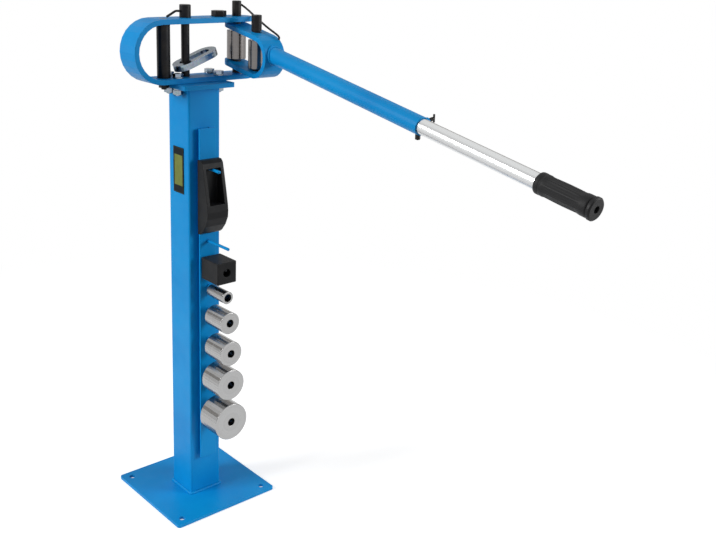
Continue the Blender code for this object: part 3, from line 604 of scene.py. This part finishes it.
def fluted_grip(made):
    """Moulded grip: collar at its mouth, shallow flutes between ribs, smooth band before its end."""
    sides = GRIP_SIDES
    stations = list(GRIP_MOUTH)
    for index in range(FLUTED_STEPS + 1):
        share = index / FLUTED_STEPS
        swell = -FLUTED_SINK + FLUTED_SINK * math.sin(math.pi * share)
        stations.append((FLUTED_START + FLUTED_LENGTH * share, swell,
                         1.0 if 0 < index < FLUTED_STEPS else 0.6))
    stations += GRIP_END
    rings = []
    for along, change, depth in stations:
        ring = []
        for side in range(sides):
            angle = 2 * math.pi * side / sides
            groove = 0.5 - 0.5 * math.cos(GRIP_FLUTES * angle)
            sink = FLUTE_DEPTH * depth * (1 - groove ** 3)
            radius = GRIP_RADIUS + change - sink
            ring.append(lever_point(GRIP_START + along, radius * math.sin(angle),
                                    radius * math.cos(angle)))
        rings.append(ring)
    angles = [2 * math.pi * side / sides for side in range(sides)]
    for along in (GRIP_LENGTH, 0.0):
        rings.append([lever_point(GRIP_START + along, GRIP_BORE * math.sin(angle),
                                  GRIP_BORE * math.cos(angle)) for angle in angles])
    vertices, faces = rings_to_mesh(rings, True)
    grip = piece("fluted_grip", vertices, faces, made, "lever_tube")
    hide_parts("grip")
    return grip


# Finishes of the CAD nodes

def finish_nodes():
    nodes = frame["nodes"]
    slots = {entry["node"]: entry["material_slot"] for entry in frame["record"]["subparts"]}
    paint = powder_paint("powder_paint")
    oxide = black_oxide("black_oxide")
    casting = black_casting("black_casting")
    zinc = zinc_plate("zinc_plate")
    rubber = grip_rubber("grip_rubber")
    # Paint of the die pegs, with painted shade darkening their ends inside the dies
    shaded_and_worn_ends = powder_paint("paint_shaded_and_worn_ends", shaded_and_worn_ends=True)
    plain = {"blue_paint": paint, "black_oxide": oxide, "black_casting": casting, "zinc_plate": zinc,
             "grip_rubber": rubber, "bright_tube": drawn_tube("drawn_tube"),
             "label_black": blank_label("blank_label")}
    for name, obj in nodes.items():
        slot = slots[name]
        if slot == "turned_steel":
            low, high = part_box(name)
            middle = (Vector(low) + Vector(high)) / 2
            if name.startswith("rack_die"):
                made = turned_steel("turned_" + name, middle, (1, 0, 0))
            else:
                # dies in the head: darker copy of the steel, painted shade of the yoke
                made = turned_steel("turned_" + name, middle, (0, 0, 1), HEAD_DIE_PAINTED_SHADE)
        # die pegs get near-black ends: painted shade inside the dies' bores
        elif name.startswith("peg_") and name not in PEGS_WITHOUT_SHADED_ENDS:
            made = shaded_and_worn_ends
        else:
            made = plain[slot]
        obj.data.materials.clear()
        obj.data.materials.append(made)
    return plain


def square_loop(half, corner, height):
    """Outline of a rounded square round the column, at one height."""
    points = []
    for turn in range(4):
        for step in range(5):
            angle = math.radians(90 * turn + 90 * step / 4)
            mid = math.radians(90 * turn + 45)
            core = (half - corner) * math.sqrt(2)
            points.append((core * math.cos(mid) + corner * math.cos(angle),
                           core * math.sin(mid) + corner * math.sin(angle), height))
    return points


def add_welds(paint):
    """Beads at the column's ends, along the rack, round the pegs and at the lever's sleeve."""
    _, base_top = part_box("base_plate")
    column_low, column_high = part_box("column")
    plate_low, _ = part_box("top_plate")
    half = column_high[0]
    foot = square_loop(half + FOOT_OUT, BEAD_CORNER, base_top[2] + FOOT_RISE)
    weld_bead("weld_column_foot", foot, (0, 0, 1), FOOT_BEAD, paint, "stand", closed=True)
    head = square_loop(half + HEAD_OUT, BEAD_CORNER, plate_low[2] - HEAD_DROP)
    weld_bead("weld_column_head", head, (0, 0, 1), HEAD_BEAD, paint, "stand", closed=True)
    rack_low, rack_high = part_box("rack_channel")
    spread = (rack_high[2] - rack_low[2] - RACK_STITCH_ENDS) / (RACK_STITCHES - 1)
    for side, edge, word in ((-1, rack_low[1], "left"), (1, rack_high[1], "right")):
        for index in range(RACK_STITCHES):
            low = rack_low[2] + RACK_STITCH_START + index * spread
            out, aside = half + RACK_OUT, edge - side * (RACK_LEG_INSET - RACK_UNDER_LEG)
            weld_bead(f"weld_rack_{word}_{index + 1}",
                      [(out, aside, low), (out, aside, low + RACK_STITCH)], (1, 0, 0), RACK_BEAD,
                      paint, "stand")
    for name in frame["nodes"]:
        if name.startswith("peg_"):
            low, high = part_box(name)
            mid = (low[2] + high[2]) / 2
            ring = [(rack_high[0] - PEG_SINK, PEG_RING * math.cos(math.radians(step)),
                     mid + PEG_RING * math.sin(math.radians(step))) for step in range(0, 360, 20)]
            weld_bead("weld_" + name, ring, (1, 0, 0), PEG_BEAD, paint, "stand", closed=True,
                      pitch=FINE_PITCH)
    turns = [math.radians(step) for step in range(0, 360, 12)]
    ring = []
    for angle in turns:
        high = (SLEEVE_RADIUS + ROOT_CLEAR) * math.sin(angle)
        reach = BEND_CENTRE + math.sqrt(BEND_RADIUS ** 2 - (LEVER_LIFT + high) ** 2) + ROOT_OUT
        ring.append(lever_point(reach, high, (SLEEVE_RADIUS + ROOT_CLEAR) * math.cos(angle)))
    weld_bead("weld_sleeve_root", ring, ALONG, ROOT_BEAD, paint, "lever", closed=True)
    ring = []
    for angle in turns:
        aside = LOCK_BOSS_RADIUS * math.sin(angle)
        out = math.sqrt(SLEEVE_RADIUS ** 2 - aside ** 2) + BOSS_OUT
        ring.append(lever_point(LOCK_REACH + LOCK_BOSS_RADIUS * math.cos(angle)) + out * LOCK_OUT
                    + aside * LOCK_ROUND)
    weld_bead("weld_lock_boss", ring, LOCK_OUT, BOSS_BEAD, paint, "lever", closed=True,
              pitch=FINE_PITCH)


def add_threads(oxide, zinc):
    """Threads of the clamping bolts, the thick pin's stud and the lock screw."""
    for index in range(1, 5):
        low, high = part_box(f"clamp_bolt_{index}")
        nut_low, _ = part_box(f"clamp_nut_{index}")
        middle = ((low[0] + high[0]) / 2, (low[1] + high[1]) / 2, low[2] + 0.0006)
        length = nut_low[2] - low[2] - 0.0008
        thread(f"thread_clamp_bolt_{index}", middle, (0, 0, 1), STUD_RADIUS, length, THREAD_PITCH,
               THREAD_DEPTH, zinc, "stand")
    low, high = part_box("anchor_pin")
    nut_low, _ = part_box("anchor_nut")
    foot = ((low[0] + high[0]) / 2, (low[1] + high[1]) / 2, low[2] + 0.0004)
    thread("thread_anchor_stud", foot, (0, 0, 1), STUD_RADIUS, nut_low[2] - low[2] - 0.0006,
           THREAD_PITCH, THREAD_DEPTH, oxide, "stand")
    start = lever_point(LOCK_REACH) + (LOCK_BOSS_TOP + LOCK_THREAD_GAP) * LOCK_OUT
    thread("thread_lock_screw", start, LOCK_OUT, LOCK_SCREW_RADIUS, LOCK_THREAD, THREAD_PITCH,
           THREAD_DEPTH, oxide, "lock_screw")


def build_details(plain):
    add_welds(plain["blue_paint"])
    add_threads(plain["black_oxide"], plain["zinc_plate"])
    fluted_grip(plain["grip_rubber"])


# Stage, light and camera

def seen_ray(tree, path):
    """1 for rays of the camera, of reflections and through clear pieces."""
    seen = calc(tree, "MAXIMUM", path.outputs["Is Camera Ray"], path.outputs["Is Glossy Ray"])
    return calc(tree, "MAXIMUM", seen, path.outputs["Is Transmission Ray"])


def build_stage():
    """Pale floor that keeps the tool's shadow near it and is white farther out."""
    floor_mesh = bpy.data.meshes.new("floor")
    angles = [2 * math.pi * step / FLOOR_SIDES for step in range(FLOOR_SIDES)]
    ring = [(FLOOR_REACH * math.cos(a), FLOOR_REACH * math.sin(a), FLOOR_HEIGHT) for a in angles]
    floor_mesh.from_pydata(ring, [], [tuple(range(FLOOR_SIDES))])
    floor = bpy.data.objects.new("floor", floor_mesh)
    bpy.context.scene.collection.objects.link(floor)
    made = bpy.data.materials.new("pale_floor")
    made.use_nodes = True
    tree = made.node_tree
    tree.nodes.clear()
    seen = seen_ray(tree, node(tree, "ShaderNodeLightPath"))
    matt = node(tree, "ShaderNodeBsdfDiffuse", {"Color": FLOOR_GREY})
    strength = calc(tree, "MULTIPLY", seen, FLOOR_LIFT)
    lift = node(tree, "ShaderNodeEmission", {"Color": WHITE, "Strength": strength})
    near = node(tree, "ShaderNodeAddShader", {0: matt.outputs[0], 1: lift.outputs[0]})
    white = node(tree, "ShaderNodeEmission", {"Color": WHITE, "Strength": seen})
    distance = vector_calc(tree, "LENGTH", place(tree))
    far = remap(tree, distance, FLOOR_WHITE_FROM, FLOOR_WHITE_AT, 0.0, 1.0)
    both = node(tree, "ShaderNodeMixShader", {0: far, 1: near.outputs[0], 2: white.outputs[0]})
    out = node(tree, "ShaderNodeOutputMaterial")
    tree.links.new(both.outputs[0], out.inputs["Surface"])
    floor_mesh.materials.append(made)


def area_light(name, at, size, power):
    """Square lamp aimed at the middle of the tool."""
    data = bpy.data.lights.new(name, "AREA")
    data.shape = "SQUARE"
    data.size = size
    data.energy = power
    lamp = bpy.data.objects.new(name, data)
    lamp.location = at
    aim = Vector(LIGHT_AIM) - Vector(at)
    lamp.rotation_euler = aim.to_track_quat("-Z", "Y").to_euler()
    bpy.context.scene.collection.objects.link(lamp)


def build_light():
    """Soft even light, white in reflections but for a darker band low round the tool, and two lamps."""
    world = bpy.data.worlds.new("studio")
    bpy.context.scene.world = world
    world.use_nodes = True
    tree = world.node_tree
    tree.nodes.clear()
    path = node(tree, "ShaderNodeLightPath")
    seen = seen_ray(tree, path)
    ahead = node(tree, "ShaderNodeTexCoord").outputs["Generated"]
    rise = node(tree, "ShaderNodeSeparateXYZ", {"Vector": ahead})
    tones = ((1, 1, 1), GAP_TONE, GAP_TONE, (1, 1, 1))
    gap = ramp(tree, rise.outputs["Z"], list(zip(GAP_RISE, tones)))
    gap = blend_colours(tree, path.outputs["Is Glossy Ray"], (1, 1, 1), gap)
    soft = node(tree, "ShaderNodeBackground", {"Color": WHITE, "Strength": WORLD_SOFT})
    shown = node(tree, "ShaderNodeBackground", {"Color": gap, "Strength": 1.0})
    both = node(tree, "ShaderNodeMixShader", {0: seen, 1: soft.outputs[0], 2: shown.outputs[0]})
    out = node(tree, "ShaderNodeOutputWorld")
    tree.links.new(both.outputs[0], out.inputs["Surface"])
    area_light("key_light", KEY_PLACE, KEY_SIZE, KEY_POWER)
    area_light("fill_light", FILL_PLACE, FILL_SIZE, FILL_POWER)


def build_camera():
    """Camera of the photographed view."""
    data = bpy.data.cameras.new("camera")
    data.sensor_width = SENSOR_WIDTH
    data.lens = LENS
    data.shift_x = SHIFT_X
    data.shift_y = SHIFT_Y
    camera = bpy.data.objects.new("camera", data)
    camera.location = CAMERA_PLACE
    camera.rotation_euler = [math.radians(angle) for angle in CAMERA_TURN]
    bpy.context.scene.collection.objects.link(camera)
    bpy.context.scene.camera = camera
    bpy.context.scene.view_settings.view_transform = "Standard"


plain_finishes = finish_nodes()
build_details(plain_finishes)
build_stage()
build_light()
build_camera()
